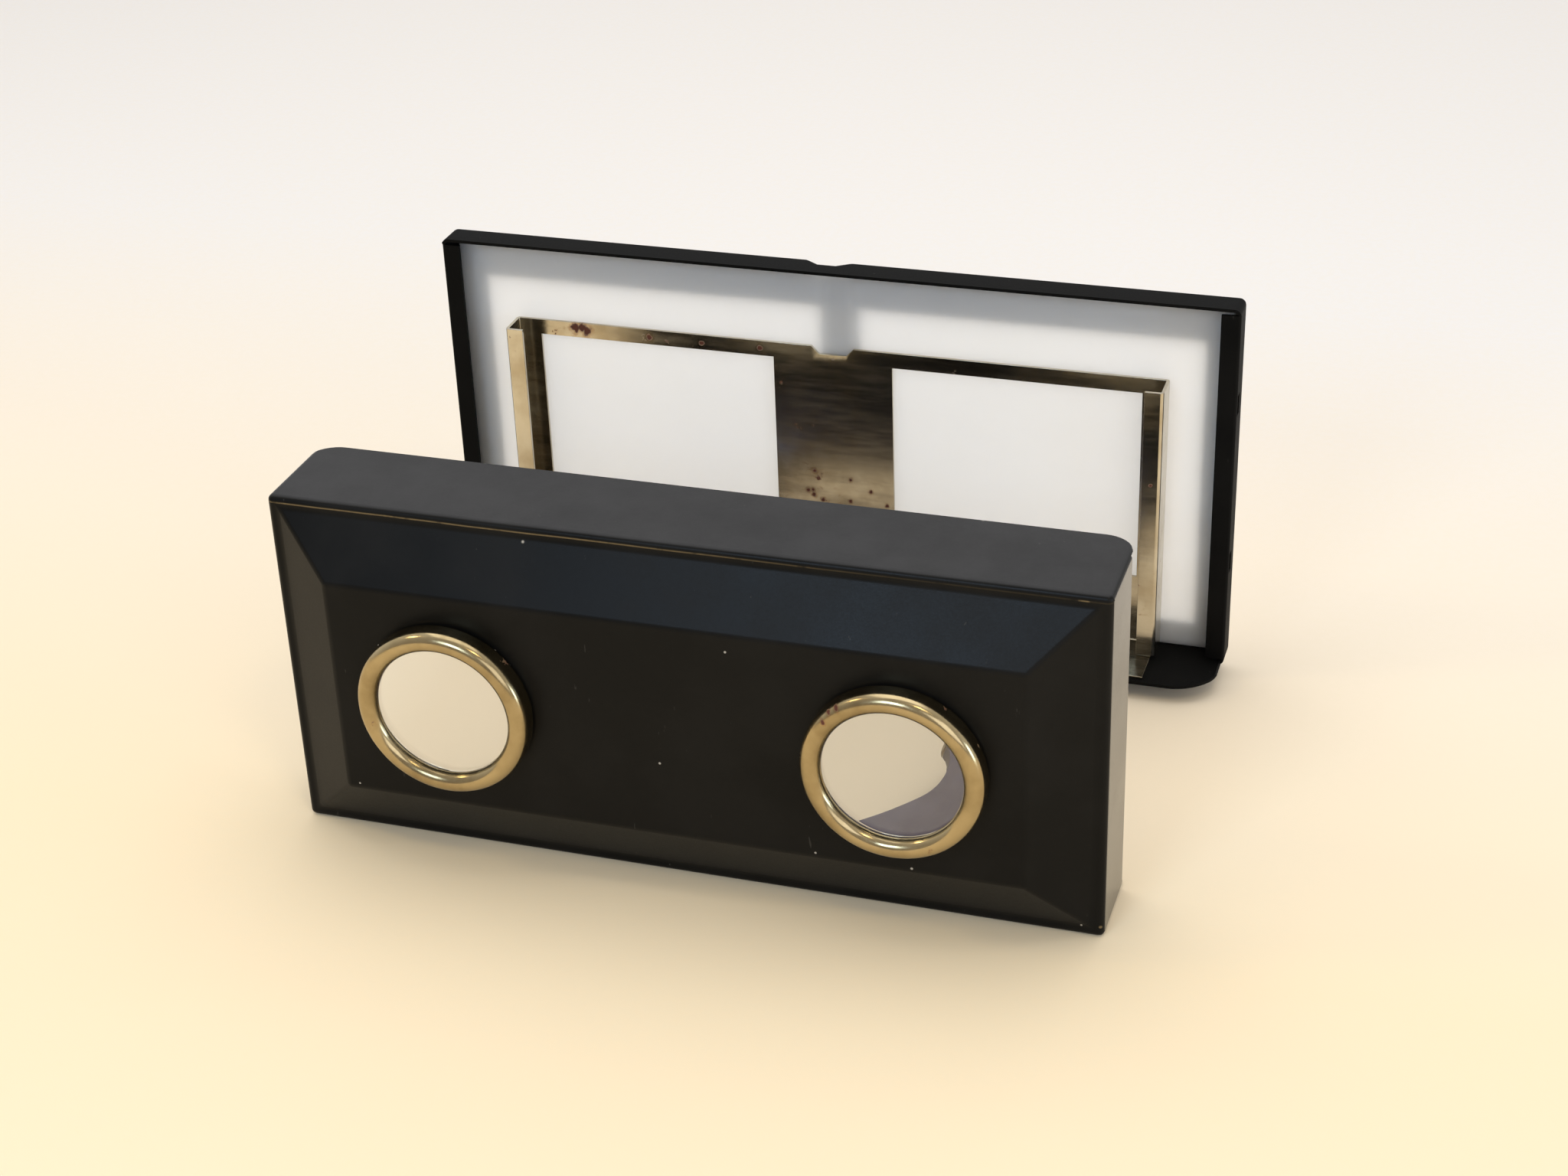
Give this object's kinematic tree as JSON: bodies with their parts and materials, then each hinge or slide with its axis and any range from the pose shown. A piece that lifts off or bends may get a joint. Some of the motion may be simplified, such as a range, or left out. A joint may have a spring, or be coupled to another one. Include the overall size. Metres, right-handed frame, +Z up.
{
  "type": "stereoscope",
  "caption": "Folding pocket stereoscope: black steel lens shell with rolled eyepiece rims, hinged link, bright slide holder and ground-glass back.",
  "frame": {"origin": "middle of the bounding box's underside, which is the plane of the lens shell's underside, viewer open", "axes": "+X along the object's length, from the left lens to the right lens seen from in front of the eyepieces; +Y from the eyepieces back to the ground glass; +Z up"},
  "size_m": [0.1304, 0.0886, 0.0642],
  "materials": {
    "black_enamel": "satin black enamel, dusty and lightly worn",
    "nickel_rim": "polished nickel with rust spots",
    "nickel_plate": "polished nickelled sheet with red-brown rust spots",
    "lens_glass": "polished clear glass",
    "ground_glass": "white ground glass, matt",
    "spring_steel": "dull spring steel",
    "link_steel": "dull grey steel sheet",
    "steel_pin": "plain steel, a little tarnished"
  },
  "bodies": {
    "back": {"back_frame": "black_enamel", "ground_glass": "ground_glass", "glass_spring": "spring_steel", "spring_rivet": "steel_pin", "slide_holder": "nickel_plate", "holder_rivets": "steel_pin", "rear_pin": "steel_pin"},
    "rear_link": {"rear_leaf": "link_steel", "mid_pins": "steel_pin"},
    "front_link": {"front_leaf": "link_steel"},
    "lens_front": {"lens_shell": "black_enamel", "eyepiece_left": "nickel_rim", "eyepiece_right": "nickel_rim", "lens_left": "lens_glass", "lens_right": "lens_glass", "lens_ring_left": "spring_steel", "lens_ring_right": "spring_steel", "front_bracket": "black_enamel", "front_rivets": "steel_pin", "front_pin": "steel_pin"}
  },
  "joints": [
    {"name": "rear_hinge", "type": "hinge", "parent": "back", "child": "rear_link", "pos_m": [0, 0.02742, 0.00285], "axis": [-1, 0, 0], "range_deg": [0, 80.5]},
    {"name": "mid_hinge", "type": "hinge", "parent": "rear_link", "child": "front_link", "pos_m": [0, -0.00308, 0.00285], "axis": [1, 0, 0], "range_deg": [0, 161]},
    {"name": "front_hinge", "type": "hinge", "parent": "front_link", "child": "lens_front", "pos_m": [0, -0.03358, 0.00285], "axis": [-1, 0, 0], "range_deg": [0, 80.5]}
  ],
  "couplings": [
    {"joint": "mid_hinge", "follows": "rear_hinge", "ratio": 2},
    {"joint": "front_hinge", "follows": "rear_hinge", "ratio": 1}
  ]
}
